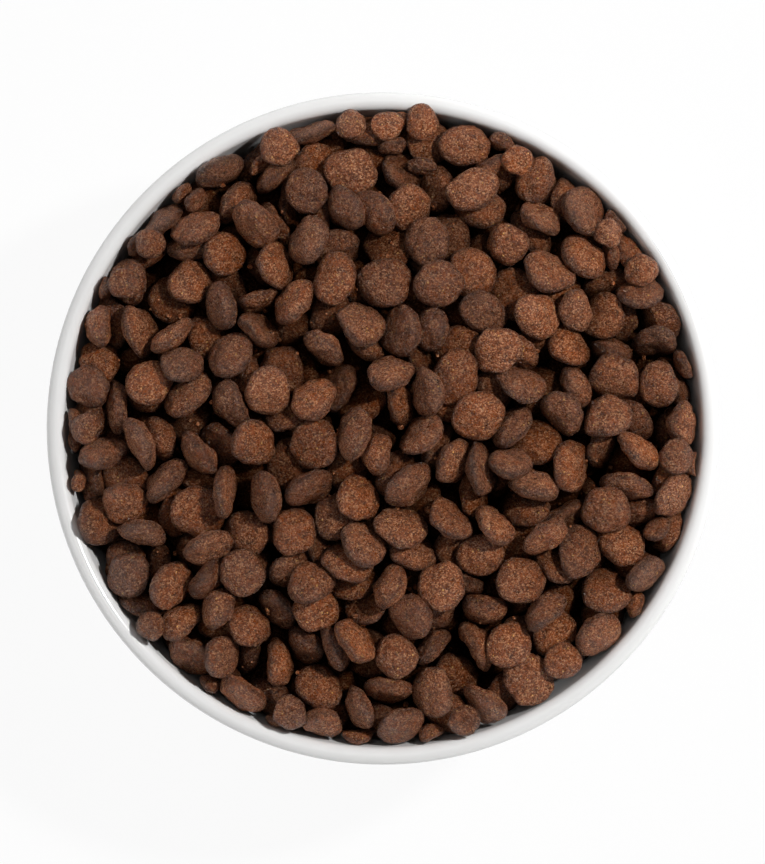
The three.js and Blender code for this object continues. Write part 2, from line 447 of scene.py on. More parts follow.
def areas_seen(kibbles):
    grid = HeapGrid()
    tops = np.full_like(grid.heights, -np.inf)
    topmost = np.full(tops.shape, -1)
    for n, kibble in enumerate(kibbles):
        window, covered, _, over = grid.shadow(kibble, 0)
        higher = covered & (kibble.z + over > tops[window])
        tops[window] = np.where(higher, kibble.z + over, tops[window])
        topmost[window] = np.where(higher, n, topmost[window])
    return np.bincount(topmost[topmost >= 0], minlength=len(kibbles)) * grid.cell**2


in_bed = bedded + tucked + at_edge
seen = areas_seen(loose + in_bed)[LOOSE_COUNT:]
bedded_near = [kibble for kibble, area in zip(in_bed, seen) if area >= WELL_SEEN]
bedded_deep = [kibble for kibble, area in zip(in_bed, seen) if LEAST_SEEN <= area < WELL_SEEN]
print("bedded:", len(bedded_near), "well seen and", len(bedded_deep), "little seen")

# %% [markdown]
# ## Node trees
# The shapes of the kibbles and all the finishes are node trees. They could be drawn by hand in Blender's
# editor, but a script has to make each node, set its values and link it. A small helper keeps that
# readable: it takes a value for each input, and where the value is the output of another node, it links it.

# %% Write the helpers for node trees


def add_node(tree, kind, inputs=None, **settings):
    made = tree.nodes.new(kind)
    for name, value in settings.items():
        setattr(made, name, value)
    for key, value in (inputs or {}).items():
        if isinstance(value, bpy.types.NodeSocket):
            tree.links.new(value, made.inputs[key])
        else:
            made.inputs[key].default_value = value
    return made


def calc(tree, operation, *values):
    return add_node(tree, "ShaderNodeMath", dict(enumerate(values)), operation=operation).outputs[0]


def times(tree, first, second):
    return calc(tree, "MULTIPLY", first, second)


def vector_calc(tree, operation, *values):
    made = add_node(tree, "ShaderNodeVectorMath", dict(enumerate(values)), operation=operation)
    return made.outputs["Value" if operation in ("LENGTH", "DOT_PRODUCT") else "Vector"]


def z_of(tree, vector):
    return add_node(tree, "ShaderNodeSeparateXYZ", {0: vector}).outputs["Z"]


def scaled(tree, vector, by):
    made = add_node(tree, "ShaderNodeVectorMath", {"Vector": vector, "Scale": by}, operation="SCALE")
    return made.outputs["Vector"]


print("helpers: nodes and sums")

# %% [markdown]
# A few kinds of node are needed again and again: noise, a change of range, a mix of two colours and the
# start of a new material. Each gets a helper too.

# %% Write the helpers for common nodes


def noise(tree, vector, scale, detail=2.0, roughness=0.5, output="Fac"):
    inputs = {"Vector": vector, "Scale": scale, "Detail": detail, "Roughness": roughness}
    return add_node(tree, "ShaderNodeTexNoise", inputs).outputs[output]


def span(tree, value, low, high, to_low=0.0, to_high=1.0):
    """A value from low to high as one from to_low to to_high, and no further."""
    inputs = {"Value": value, "From Min": low, "From Max": high, "To Min": to_low, "To Max": to_high}
    return add_node(tree, "ShaderNodeMapRange", inputs, clamp=True).outputs["Result"]


def blended(tree, share, first, second):
    """A colour between two others. The node has sockets for other kinds of value too, hence the numbers."""
    return add_node(tree, "ShaderNodeMix", {0: share, 6: first, 7: second}, data_type="RGBA").outputs[2]


def new_material(name):
    material = bpy.data.materials.new(name)
    material.use_nodes = True
    tree = material.node_tree
    return material, tree, tree.nodes["Principled BSDF"]


print("helpers: noise, spans, colours and materials")

# %% [markdown]
# ## The finish of the kibble
# Kibble is ground meal that was pressed, cooked and dried: dark brown, dry and rough all over, with a little
# shine from its fat. An image could show that, but a procedural finish has no seams and no limit of
# sharpness. Close up, the meal is a crowd of granules about a quarter of a millimetre across, each with a
# brown of its own, and here and there a golden speck. A Voronoi texture gives just that: cells of about one
# size, with a random colour each. One channel of that colour picks how light a granule is, another how red
# or how grey. Each kibble was also baked a little differently, so it carries a tone and a warmth of its own,
# as attributes of its points.

# %% Make the granules
crumb, tree, surface = new_material("crumb")
place = add_node(tree, "ShaderNodeTexCoord").outputs["Object"]
tone = add_node(tree, "ShaderNodeAttribute", attribute_name="tone").outputs["Fac"]
warmth = add_node(tree, "ShaderNodeAttribute", attribute_name="warmth").outputs["Fac"]

GRANULE_SCALE = 3600  # per metre
SPECK_SCALE = 900
BLOTCH_SCALE = 420
WRINKLE_SCALE = 700
SPECK_EDGE = (0.24, 0.12)  # from its outline inwards, in cells
SPECK_PICK = (0.78, 0.95)  # only the cells with the highest numbers get a speck


def cells(tree, vector, scale):
    """The distance from the middle of a cell, and three random numbers that are the same all over it."""
    made = add_node(tree, "ShaderNodeTexVoronoi", {"Vector": vector, "Scale": scale})
    picks = add_node(tree, "ShaderNodeSeparateColor", {"Color": made.outputs["Color"]})
    return made.outputs["Distance"], picks.outputs


granule_edge, granule_pick = cells(tree, place, GRANULE_SCALE)
speck_edge, speck_pick = cells(tree, place, SPECK_SCALE)
blotch = noise(tree, place, BLOTCH_SCALE, detail=4.0, roughness=0.65)
wrinkle = noise(tree, place, WRINKLE_SCALE, detail=5.0, roughness=0.7)
is_speck = span(tree, speck_pick[0], *SPECK_PICK)
speck = times(tree, span(tree, speck_edge, *SPECK_EDGE), is_speck)
print("crumb:", round(1000 / GRANULE_SCALE, 2), "mm granules")

# %% [markdown]
# The brown is mixed in layers, from wide to fine: the kibble's own brown between plum and rust, darker
# blotches, wrinkles that are darker where their bump is low (painted shade in their hollows), dark and light
# granules, and the specks on top. A share says how far each layer covers what is under it. One mixed brown
# would be simpler, but it would look like clay.

# %% Colour the kibble
PLUM_BROWN = (0.255, 0.073, 0.025, 1)
RUST_BROWN = (0.335, 0.071, 0.006, 1)
DARK_MEAL = (0.045, 0.011, 0.003, 1)
LIGHT_MEAL = (0.640, 0.330, 0.170, 1)
SPECK_GOLD = (0.900, 0.520, 0.160, 1)

GRANULE_RUST, KIBBLE_RUST = 0.3, 0.7  # the parts of the redness that are a granule's and a kibble's own
BLOTCH_SHARE, HOLLOW_SHADE_SHARE = 0.55, 0.8
DARK_SHARE, LIGHT_SHARE, SPECK_SHARE = 0.6, 0.75, 0.85
BLOTCHED, WRINKLE_HOLLOWS = (0.45, 0.68), (0.48, 0.34)  # the values at which a layer begins and is full
DARK_PICK, LIGHT_PICK = (0.5, 0.05), (0.6, 0.98)

own_rust = times(tree, warmth, KIBBLE_RUST)
rust = calc(tree, "ADD", times(tree, granule_pick[1], GRANULE_RUST), own_rust)
brown = blended(tree, rust, PLUM_BROWN, RUST_BROWN)
brown = blended(tree, span(tree, blotch, *BLOTCHED, 0.0, BLOTCH_SHARE), brown, DARK_MEAL)
# painted shade: darker where the wrinkle bump is low, in its hollows
brown = blended(tree, span(tree, wrinkle, *WRINKLE_HOLLOWS, 0.0, HOLLOW_SHADE_SHARE), brown, DARK_MEAL)
brown = blended(tree, span(tree, granule_pick[0], *DARK_PICK, 0.0, DARK_SHARE), brown, DARK_MEAL)
brown = blended(tree, span(tree, granule_pick[0], *LIGHT_PICK, 0.0, LIGHT_SHARE), brown, LIGHT_MEAL)
brown = blended(tree, times(tree, speck, SPECK_SHARE), brown, SPECK_GOLD)
print("crumb:", len(tree.nodes), "nodes")

# %% [markdown]
# Light hardly reaches into the gaps between the kibbles. The finish therefore darkens, and loses its shine,
# with the depth under the smooth dome of the heap, which follows from the same formula as in the pour: this
# is painted shade. A kibble's thin edge is painted darker than its faces, too, as painted shade. For that
# each point keeps its place on the plain lens as an attribute, "local", whose height is zero at the edge.
# All of this reads the place on the object, so it looks the same from every side.

# %% Paint shade into the kibble in the gaps
LIGHT_DEPTH, DARK_DEPTH = 1.2 * MM, 7.0 * MM
DEEP_PAINTED_SHADE = 0.12
EDGE_SHADE_WIDTH, EDGE_PAINTED_SHADE = 0.65, 0.45
DULLEST, SHINIEST = 0.42, 0.22  # roughness, from granule to granule
MOST_SHINE = 0.55
dome_top = (BOWL_HEIGHT + HEAP_RISE) * MM
dome_fall = (HEAP_RISE + EDGE_DROP) / rim_inner**2 / MM
across = vector_calc(tree, "LENGTH", vector_calc(tree, "MULTIPLY", place, (1, 1, 0)))
level = z_of(tree, place)
fall = times(tree, times(tree, across, across), dome_fall)
dome = calc(tree, "SUBTRACT", dome_top, fall)
depth = calc(tree, "SUBTRACT", dome, level)
# painted shade: darker with the depth under the dome of the heap
shade = times(tree, tone, span(tree, depth, LIGHT_DEPTH, DARK_DEPTH, 1.0, DEEP_PAINTED_SHADE))
own_place = add_node(tree, "ShaderNodeAttribute", attribute_name="local").outputs["Vector"]
from_edge = calc(tree, "ABSOLUTE", z_of(tree, own_place))
# painted shade: darker towards the kibble's thin edge
shade = times(tree, shade, span(tree, from_edge, 0.0, EDGE_SHADE_WIDTH, EDGE_PAINTED_SHADE, 1.0))
toned = add_node(tree, "ShaderNodeHueSaturation", {"Value": shade, "Color": brown})
tree.links.new(toned.outputs["Color"], surface.inputs["Base Color"])
tree.links.new(span(tree, granule_pick[2], 0.0, 1.0, DULLEST, SHINIEST), surface.inputs["Roughness"])
# painted shade: the shine fades with the depth under the dome too
shine = span(tree, depth, LIGHT_DEPTH, DARK_DEPTH, MOST_SHINE, 0.0)
tree.links.new(shine, surface.inputs["Specular IOR Level"])
print("crumb: darkest", DARK_DEPTH / MM, "mm under the dome")

# %% [markdown]
# The granules also stand out of the surface by a tenth of a millimetre or so. That is too fine to model in
# faces, so it is bump: a height from the same cells and wrinkles, which tilts the shading only.

# %% Give the kibble its grain
GRAIN_HEIGHT = 0.25 * MM
LEAST_GRANULE = 0.3
WRINKLE_HEIGHT = 7  # times a granule's
roundness = calc(tree, "SUBTRACT", 1.0, granule_edge)
height = times(tree, roundness, calc(tree, "ADD", granule_pick[0], LEAST_GRANULE))
height = calc(tree, "ADD", height, times(tree, wrinkle, WRINKLE_HEIGHT))
height = calc(tree, "ADD", height, speck)
grain_bump = add_node(tree, "ShaderNodeBump", {"Strength": 1.0, "Distance": GRAIN_HEIGHT, "Height": height})
tree.links.new(grain_bump.outputs["Normal"], surface.inputs["Normal"])
print("crumb: bump of", GRAIN_HEIGHT / MM, "mm")

# %% [markdown]
# ## The shape of a kibble
# A kibble comes out of the press as a round lens, and no two are alike: they are bent, dented and lumpy.
# Modelling hundreds by hand is out of the question, so Geometry Nodes make them from points. Copies of one
# kibble would need few faces, but in a heap the eye finds copies at once, so each has a shape of its own and
# about two thousand triangles. The tree first makes one plain lens, then sets it on each point, turned and
# sized by the point's attributes, and makes it real. Only then are the lenses bent and pushed in and out by
# noise that depends on the place, so that each gets dents of its own. The sizes are inputs with names.

# %% Build the node tree of the kibble
kibble_tree = tree = bpy.data.node_groups.new("Kibble shapes", "GeometryNodeTree")
tree.is_modifier = True
sockets = tree.interface
sockets.new_socket("Geometry", in_out="OUTPUT", socket_type="NodeSocketGeometry")
sockets.new_socket("Geometry", in_out="INPUT", socket_type="NodeSocketGeometry")
kibble_inputs = {}
floats = "Bluntness", "Bend", "Warp size", "Warp depth", "Dent size", "Dent depth", "Lump size", "Lump depth"
kinds = {"Cuts": "Int", **dict.fromkeys(floats, "Float"), "Material": "Material"}
for name, kind in kinds.items():
    socket = sockets.new_socket(name, in_out="INPUT", socket_type="NodeSocket" + kind)
    kibble_inputs[name] = socket.identifier
given = add_node(tree, "NodeGroupInput").outputs
print("kibble tree:", len(kibble_inputs), "inputs")

# %% [markdown]
# The plain lens could be a squashed sphere, but a sphere's faces crowd together at its poles. A cube that is
# cut into a grid and blown up has faces of even size all over. The power in the formula is the bluntness:
# at 2 the lens is an ellipsoid, as in the pour, and above that its edge is blunter and its faces flatter.

# %% Blow the cube up to a lens


def moved(shape, **way):
    return add_node(tree, "GeometryNodeSetPosition", {"Geometry": shape, **way}).outputs[0]


cuts = calc(tree, "ADD", given["Cuts"], 1)
grid_sizes = {"Size": (2, 2, 2), "Vertices X": cuts, "Vertices Y": cuts, "Vertices Z": cuts}
cube = add_node(tree, "GeometryNodeMeshCube", grid_sizes)
here = add_node(tree, "GeometryNodeInputPosition").outputs[0]
outward = vector_calc(tree, "NORMALIZE", here)
flat_part = vector_calc(tree, "LENGTH", vector_calc(tree, "MULTIPLY", outward, (1, 1, 0)))
upright_part = vector_calc(tree, "LENGTH", vector_calc(tree, "MULTIPLY", outward, (0, 0, 1)))
flat_power = calc(tree, "POWER", flat_part, given["Bluntness"])
upright_power = calc(tree, "POWER", upright_part, given["Bluntness"])
inverse = calc(tree, "DIVIDE", -1.0, given["Bluntness"])
stretch = calc(tree, "POWER", calc(tree, "ADD", flat_power, upright_power), inverse)
lens = moved(cube.outputs["Mesh"], Position=scaled(tree, outward, stretch))
local = add_node(
    tree,
    "GeometryNodeStoreNamedAttribute",
    {"Geometry": lens, "Name": "local", "Value": here},
    data_type="FLOAT_VECTOR",
    domain="POINT",
)
print("kibble tree: the lens is ready")

# %% [markdown]
# Instances are quick, but they all share one mesh. Made real, each lens has points of its own that can move.

# %% Set a lens on each point and make it real


def point_value(name, kind):
    made = add_node(tree, "GeometryNodeInputNamedAttribute", {"Name": name}, data_type=kind)
    return made.outputs["Attribute"]


turn = add_node(tree, "FunctionNodeEulerToRotation", {0: point_value("turn", "FLOAT_VECTOR")})
placed = add_node(
    tree,
    "GeometryNodeInstanceOnPoints",
    {
        "Points": given["Geometry"],
        "Instance": local.outputs[0],
        "Rotation": turn.outputs[0],
        "Scale": point_value("half", "FLOAT_VECTOR"),
    },
)
real = add_node(tree, "GeometryNodeRealizeInstances", {"Geometry": placed.outputs[0]})
print("kibble tree: lenses are set on points")

# %% [markdown]
# Real kibble bends like a crisp as it dries, some this way and some that way. A bend lifts two ends along
# the kibble's own axis, by the square of their distance. A wide noise then warps it out of round.

# %% Bend and warp them
BEND_LEVEL = 0.33  # keeps a bent kibble at its own height on the whole
NOISE_SPREAD = 3.0  # noise stays near its middle, so this makes it run from about -1 to 1
axis = add_node(tree, "FunctionNodeRotateVector", {"Vector": (0, 0, 1), "Rotation": turn.outputs[0]})
along = vector_calc(tree, "DOT_PRODUCT", point_value("local", "FLOAT_VECTOR"), (1, 0, 0))
lift = calc(tree, "SUBTRACT", times(tree, along, along), BEND_LEVEL)
lift = times(tree, lift, point_value("bend", "FLOAT"))
lift = times(tree, lift, given["Bend"])
bent = scaled(tree, axis.outputs[0], lift)


def noise_by_size(size, output="Fac"):
    """Noise from about -1 to 1 whose swells are as far apart as the size says."""
    plain = noise(tree, here, calc(tree, "DIVIDE", 1.0, size), detail=1.0, output=output)
    if output == "Color":
        centred = vector_calc(tree, "SUBTRACT", plain, (0.5, 0.5, 0.5))
        return scaled(tree, centred, NOISE_SPREAD)
    return times(tree, calc(tree, "SUBTRACT", plain, 0.5), NOISE_SPREAD)


warp = scaled(tree, noise_by_size(given["Warp size"], "Color"), given["Warp depth"])
warped = moved(real.outputs[0], Offset=vector_calc(tree, "ADD", bent, warp))
print("kibble tree: lenses are bent")

# %% [markdown]
# Two finer noises dent the faces and make them lumpy, by a push along the normal of the surface. The dents
# are shallower at the edge, or the outline would look chipped like a stone's.

# %% Dent and finish them
EDGE_DENT = 0.3  # as a share of a dent on a face
FACE_LEVEL = 0.8  # the height on the plain lens from which a dent is full
normal = add_node(tree, "GeometryNodeInputNormal").outputs[0]
upright = vector_calc(tree, "DOT_PRODUCT", point_value("local", "FLOAT_VECTOR"), (0, 0, 1))
on_face = span(tree, calc(tree, "ABSOLUTE", upright), 0.0, FACE_LEVEL, EDGE_DENT, 1.0)
dent = times(tree, noise_by_size(given["Dent size"]), given["Dent depth"])
lump = times(tree, noise_by_size(given["Lump size"]), given["Lump depth"])
push = calc(tree, "ADD", times(tree, dent, on_face), lump)
dented = moved(warped, Offset=scaled(tree, normal, push))
smooth = add_node(tree, "GeometryNodeSetShadeSmooth", {"Geometry": dented}).outputs[0]
coat = {"Geometry": smooth, "Material": given["Material"]}
finished = add_node(tree, "GeometryNodeSetMaterial", coat)
add_node(tree, "NodeGroupOutput", {0: finished.outputs[0]})
print("kibble tree:", len(tree.nodes), "nodes")

# %% [markdown]
# ## The kibbles
# Each loose kibble replaces its own solid, and the bedded ones together replace the solid of the bed. A
# point holds all that the tree needs to know of a kibble. When the tree has run, its result is copied to a
# plain mesh and the modifier is taken off, so that the piece stays as it is.

# %% Turn points into pieces


def points_object(name, values, shape, material):
    """An object of bare points with the values of each, and with the tree of the kibble on it."""
    mesh = bpy.data.meshes.new(name + "_points")
    mesh.from_pydata(values["place"], [], [])
    for key, rows in values.items():
        if key == "place":
            continue
        is_vector = np.ndim(rows) == 2
        attribute = mesh.attributes.new(key, "FLOAT_VECTOR" if is_vector else "FLOAT", "POINT")
        attribute.data.foreach_set("vector" if is_vector else "value", np.ravel(rows))
    piece = bpy.data.objects.new(name, mesh)
    scene.collection.objects.link(piece)
    modifier = piece.modifiers.new("Kibble shapes", "NODES")
    modifier.node_group = kibble_tree
    for key, value in {**shape, "Material": material}.items():
        modifier[kibble_inputs[key]] = value
    return piece


def made_plain(pieces):
    depsgraph = bpy.context.evaluated_depsgraph_get()
    meshes = [bpy.data.meshes.new_from_object(piece.evaluated_get(depsgraph)) for piece in pieces]
    for piece, mesh in zip(pieces, meshes):
        points = piece.data
        piece.modifiers.clear()
        piece.data = mesh
        bpy.data.meshes.remove(points)


def triangles(piece):
    piece.data.calc_loop_triangles()
    return len(piece.data.loop_triangles)


print("pieces: ready to be made from points")

# %% [markdown]
# All kibbles share the depth of their dents and lumps. The bend, tone and warmth of each one come from the
# same kind of random numbers as the pour, so every run gives the same heap.

# %% Describe the looks of the kibbles
LOOK_SEED = 7
TONES = (0.75, 1.3)
FULLNESS = 1.05  # closes the gap that the pour leaves around each kibble
KIBBLE_SHAPE = {
    "Cuts": 13,
    "Bluntness": 2.05,
    "Bend": 1.4 * MM,
    "Warp size": 7 * MM,
    "Warp depth": 0.8 * MM,
    "Dent size": 3 * MM,
    "Dent depth": 0.4 * MM,
    "Lump size": 1.2 * MM,
    "Lump depth": 0.17 * MM,
}
look_random = seeded(LOOK_SEED)


def kibble_values(kibbles):
    return {
        "place": [(k.x * MM, k.y * MM, k.z * MM) for k in kibbles],
        "turn": np.array([Matrix(k.turn.tolist()).to_euler() for k in kibbles]),
        "half": np.array([k.half * FULLNESS * MM for k in kibbles]),
        "bend": np.array([near(look_random, 0, 1) for _ in kibbles]),
        "tone": np.array([between(look_random, *TONES) for _ in kibbles]),
        "warmth": np.array([look_random() for _ in kibbles]),
    }


print("kibble: about", 12 * KIBBLE_SHAPE["Cuts"] ** 2, "triangles each")

# %% [markdown]
# The bedded kibbles are made in four quarters and a deep layer, to keep each mesh to a size that other
# programs open easily. The deep ones hardly show, so they are cut into fewer faces.

# %% Make the kibbles
SECTORS = ("east", "north", "west", "south")
DEEP_SHAPE = {**KIBBLE_SHAPE, "Cuts": 8}


def sector_of(kibble):
    quarter = math.floor((math.atan2(kibble.y, kibble.x) + math.pi / 4) / (math.pi / 2))
    return SECTORS[quarter % 4]


loose_pieces = [
    points_object(f"loose_kibble_{n + 1:02d}", kibble_values([kibble]), KIBBLE_SHAPE, crumb)
    for n, kibble in enumerate(loose)
]
bed_pieces = [
    points_object(
        f"bedded_kibble_{sector}",
        kibble_values([kibble for kibble in bedded_near if sector_of(kibble) == sector]),
        KIBBLE_SHAPE,
        crumb,
    )
    for sector in SECTORS
]
bed_pieces.append(points_object("bedded_kibble_deep", kibble_values(bedded_deep), DEEP_SHAPE, crumb))
made_plain(loose_pieces + bed_pieces)
for n, piece in enumerate(loose_pieces):
    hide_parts(loose_node(n))
for piece in bed_pieces:
    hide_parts("kibble_bed")
for piece in loose_pieces + bed_pieces:
    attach(piece, "root")
print("kibbles:", sum(map(triangles, loose_pieces + bed_pieces)), "triangles")

# %% [markdown]
# ## The crumbs
# Kibble rubs against kibble, and the bits that break off gather between them as small, pale crumbs. They
# have to lie on something, so a ray is sent straight down at each of many places, and a crumb goes where it
# hits. They're most plainly seen in the dark gaps, so only hits that lie well under the dome count. The same
# tree makes them, with fewer faces and without the bend.

# %% Scatter the crumbs
CRUMB_TRIES = 700
CRUMB_DEPTH = 3.5  # least depth under the dome
CRUMB_SIZES = (0.25, 0.8)
CRUMB_STRETCH = (0.6, 1.1)
CRUMB_SINK = 0.5
CRUMB_TONES = (2.4, 4.8)
CRUMB_SHAPE = {
    **KIBBLE_SHAPE,
    "Cuts": 3,
    "Bend": 0.0,
    "Warp depth": 0.0,
    "Dent size": 1.2 * MM,
    "Dent depth": 0.12 * MM,
    "Lump depth": 0.08 * MM,
}


def crumb_values():
    bpy.context.view_layer.update()
    view = bpy.context.evaluated_depsgraph_get()
    names = {piece.name for piece in loose_pieces + bed_pieces}
    places, turns, halves, tones = [], [], [], []
    for _ in range(CRUMB_TRIES):
        r = (rim_inner - RIM_ROOM) * math.sqrt(look_random())
        angle = math.tau * look_random()
        above = Vector((r * math.cos(angle), r * math.sin(angle), 2 * BOWL_HEIGHT)) * MM
        turn_to = [math.tau * look_random() for _ in range(3)]
        size = between(lambda: look_random() ** 3, *CRUMB_SIZES)  # most are small
        half = np.array([size * between(look_random, *CRUMB_STRETCH) for _ in range(3)])
        hit, spot, normal, _, found, _ = scene.ray_cast(view, above, Vector((0, 0, -1)))
        if not hit or found.name not in names or heap_surface(r) - spot.z / MM < CRUMB_DEPTH:
            continue
        places.append(spot + normal * (float(half.min()) * CRUMB_SINK * MM))
        turns.append(turn_to)
        halves.append(half * MM)
        tones.append(between(look_random, *CRUMB_TONES))
    none = np.zeros(len(places))
    return {"place": places, "turn": turns, "half": halves, "bend": none, "tone": tones, "warmth": none}


scattered = crumb_values()
crumbs = points_object("crumbs", scattered, CRUMB_SHAPE, crumb)
made_plain([crumbs])
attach(crumbs, "root")
print("crumbs:", len(scattered["place"]), "with", triangles(crumbs), "triangles")

# %% [markdown]
# ## Turned shapes
# The bowl and the mass of kibble inside it are round, so both are turned: a half section goes round the
# axis. The section is a row of corners, as on a drawing. A bevel in Blender could round them, but true arcs
# as in the solids keep the sizes, and here they have finer steps.

# %% Round the corners of a section


def unit(vector):
    return vector / np.linalg.norm(vector)


def rounded_profile(corners, step):
    """Straight runs between corners, given as (radius, height, fillet), with arcs in steps of an angle."""
    at = [np.array(corner[:2], float) for corner in corners]
    points = [at[0]]
    for before, corner, after, given_corner in zip(at, at[1:], at[2:], corners[1:]):
        fillet = given_corner[2] if len(given_corner) > 2 else 0
        if fillet == 0:
            points.append(corner)
            continue
        back, ahead = unit(before - corner), unit(after - corner)
        half = math.acos(float(np.dot(back, ahead))) / 2
        centre = corner + unit(back + ahead) * fillet / math.sin(half)
        start = corner + back * fillet / math.tan(half) - centre
        end = corner + ahead * fillet / math.tan(half) - centre
        turn_angle = math.atan2(start[0] * end[1] - start[1] * end[0], float(np.dot(start, end)))
        count = max(2, math.ceil(abs(turn_angle) / step))
        for n in range(count + 1):
            angle = turn_angle * n / count
            spin_back = np.array([[math.cos(angle), -math.sin(angle)], [math.sin(angle), math.cos(angle)]])
            points.append(centre + spin_back @ start)
    return points + [at[-1]]


def divided(points, longest):
    """The same section with no run longer than a length."""
    out = [points[0]]
    for start, end in zip(points, points[1:]):
        count = max(1, math.ceil(float(np.linalg.norm(end - start)) / longest))
        out += [start + (end - start) * n / count for n in range(1, count + 1)]
    return out


def wall_radius(rim_radius, z):
    return rim_radius - (BOWL_HEIGHT - z) * math.tan(WALL_LEAN)


print("sections: ready, with a wall that leans out by", round(math.degrees(WALL_LEAN)), "degrees")

# %% [markdown]
# Blender has a Spin tool for turning a section, but it leaves doubled points on the axis. Here the rings of
# points are laid out directly, with one single point at each place where the section meets the axis.

# %% Turn a section


def turned(name, section, sides, material):
    """A closed body from a section that begins on the axis below and ends on it above."""
    angles = [math.tau * n / sides for n in range(sides)]
    rows = section[1:-1]
    points = [(r * math.cos(a) * MM, r * math.sin(a) * MM, z * MM) for r, z in rows for a in angles]
    faces = []
    for row in range(len(rows) - 1):
        for n in range(sides):
            here_now, next_now = row * sides + n, row * sides + (n + 1) % sides
            faces.append((here_now, next_now, next_now + sides, here_now + sides))
    bottom, top = len(points), len(points) + 1
    points += [(0, 0, section[0][1] * MM), (0, 0, section[-1][1] * MM)]
    last = (len(rows) - 1) * sides
    for n in range(sides):
        following = (n + 1) % sides
        faces.append((bottom, following, n))
        faces.append((top, last + n, last + following))
    mesh = bpy.data.meshes.new(name)
    mesh.from_pydata(points, [], faces)
    mesh.shade_smooth()
    mesh.materials.append(material)
    piece = bpy.data.objects.new(name, mesh)
    scene.collection.objects.link(piece)
    return piece


print("turned shapes: ready")

# %% [markdown]
# ## The fill
# Under the kibbles that show, the bowl is full of more kibble, in deep shade. It could be poured as well,
# but nobody would see it. So one body stands for all of it, with the same finish, a little below the
# layer that was poured piece by piece. Its finish paints it dark as shade, by its depth under the dome and,
# as it has no "local" attribute, by the edge shade all over; its tone is lower than any kibble's, too.

# %% Make the fill
FILL_LEVEL = -13.5  # under the heap's surface
FILL_SIDES = 96
ARC_STEP = math.radians(6)
FILL_TONE, FILL_WARMTH = 0.6, 0.5
DOME_STEPS = 24

fill_wall = rim_inner - SEAT_GAP / math.cos(WALL_LEAN)
fill_floor = floor_level + SEAT_GAP
edge_level = heap_surface(rim_inner) + FILL_LEVEL
edge_radius = wall_radius(fill_wall, edge_level)
fill_corners = [
    (0, fill_floor),
    (wall_radius(fill_wall, fill_floor), fill_floor, INNER_CORNER),
    (edge_radius, edge_level),
]
for n in range(1, DOME_STEPS + 1):
    r = edge_radius * (1 - n / DOME_STEPS)
    fill_corners.append((r, heap_surface(r) + FILL_LEVEL))
# painted shade: the finish darkens the fill as the shade deep in the heap
fill = turned("kibble_fill", rounded_profile(fill_corners, ARC_STEP), FILL_SIDES, crumb)
for key, value in (("tone", FILL_TONE), ("warmth", FILL_WARMTH)):
    attribute = fill.data.attributes.new(key, "FLOAT", "POINT")
    attribute.data.foreach_set("value", np.full(len(fill.data.vertices), value))
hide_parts("kibble_bed")
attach(fill, "root")
print("fill:", triangles(fill), "triangles")

# %% [markdown]
# ## The glaze
# The bowl is glazed stoneware: a thick, even white glaze with a soft shine. Close up, a glaze is never
# quite flat. It has a faint waviness, and its gloss varies a little. The foot ring is wiped clean of glaze
# before firing, so that the bowl doesn't stick to the kiln shelf, and shows the pale, rough clay. The foot
# could be a piece with a finish of its own, but then the edge of the glaze would be a hard line. One finish
# that changes with the height, moved up and down by noise, gives the edge its wandering line.

# %% Make the glaze
GLAZE_WHITE = (0.92, 0.917, 0.91, 1)
CLOUDED_WHITE = (0.90, 0.893, 0.882, 1)
PALE_CLAY = (0.62, 0.54, 0.44, 1)
DARK_CLAY = (0.50, 0.42, 0.33, 1)
CLOUD_SCALE, CLAY_SCALE, WAVE_SCALE, WANDER_SCALE = 45, 2600, 260, 160  # per metre
WIPED_HEIGHT, GLAZED_HEIGHT = 1.1 * MM, 1.5 * MM  # between them lies the edge of the glaze
WANDER = 0.8 * MM  # how far that edge wanders up and down
CLOUDED, GRAINY = (0.35, 0.7), (0.35, 0.65)  # the values at which they begin and are full
GLOSSY, SATIN, CLAY_ROUGHNESS = 0.16, 0.24, 0.85
WAVE_HEIGHT, CLAY_HEIGHT = 0.25, 0.6
GLAZE_BUMP = 0.12 * MM
glaze, tree, surface = new_material("glaze")
place = add_node(tree, "ShaderNodeTexCoord").outputs["Object"]
level = z_of(tree, place)
wander = calc(tree, "SUBTRACT", noise(tree, place, WANDER_SCALE, detail=3.0), 0.5)
level = calc(tree, "ADD", level, times(tree, wander, WANDER))
bare = span(tree, level, GLAZED_HEIGHT, WIPED_HEIGHT)
cloud = noise(tree, place, CLOUD_SCALE, detail=3.0, roughness=0.55)
clay_grain = noise(tree, place, CLAY_SCALE, detail=3.0, roughness=0.7)
white = blended(tree, span(tree, cloud, *CLOUDED), GLAZE_WHITE, CLOUDED_WHITE)
clay = blended(tree, span(tree, clay_grain, *GRAINY), PALE_CLAY, DARK_CLAY)
tree.links.new(blended(tree, bare, white, clay), surface.inputs["Base Color"])
gloss = span(tree, cloud, 0.3, 0.7, GLOSSY, SATIN)
rough = calc(tree, "MAXIMUM", gloss, times(tree, bare, CLAY_ROUGHNESS))
tree.links.new(rough, surface.inputs["Roughness"])
wave = times(tree, noise(tree, place, WAVE_SCALE), WAVE_HEIGHT)
tooth = times(tree, times(tree, clay_grain, bare), CLAY_HEIGHT)
bump_inputs = {"Strength": 0.5, "Distance": GLAZE_BUMP, "Height": calc(tree, "ADD", wave, tooth)}
glaze_bump = add_node(tree, "ShaderNodeBump", bump_inputs)
tree.links.new(glaze_bump.outputs["Normal"], surface.inputs["Normal"])
print("glaze:", len(tree.nodes), "nodes")

# %% [markdown]
# ## The bowl
# The bowl is turned from the same section as its solid: a flat base on a foot ring, a wide inner curve, a
# wall that leans out and a full round rim. The solid itself could be shown, but it has only 40 flat sides,
# so here the bowl gets enough sides and steps for its rim to look round from close by.

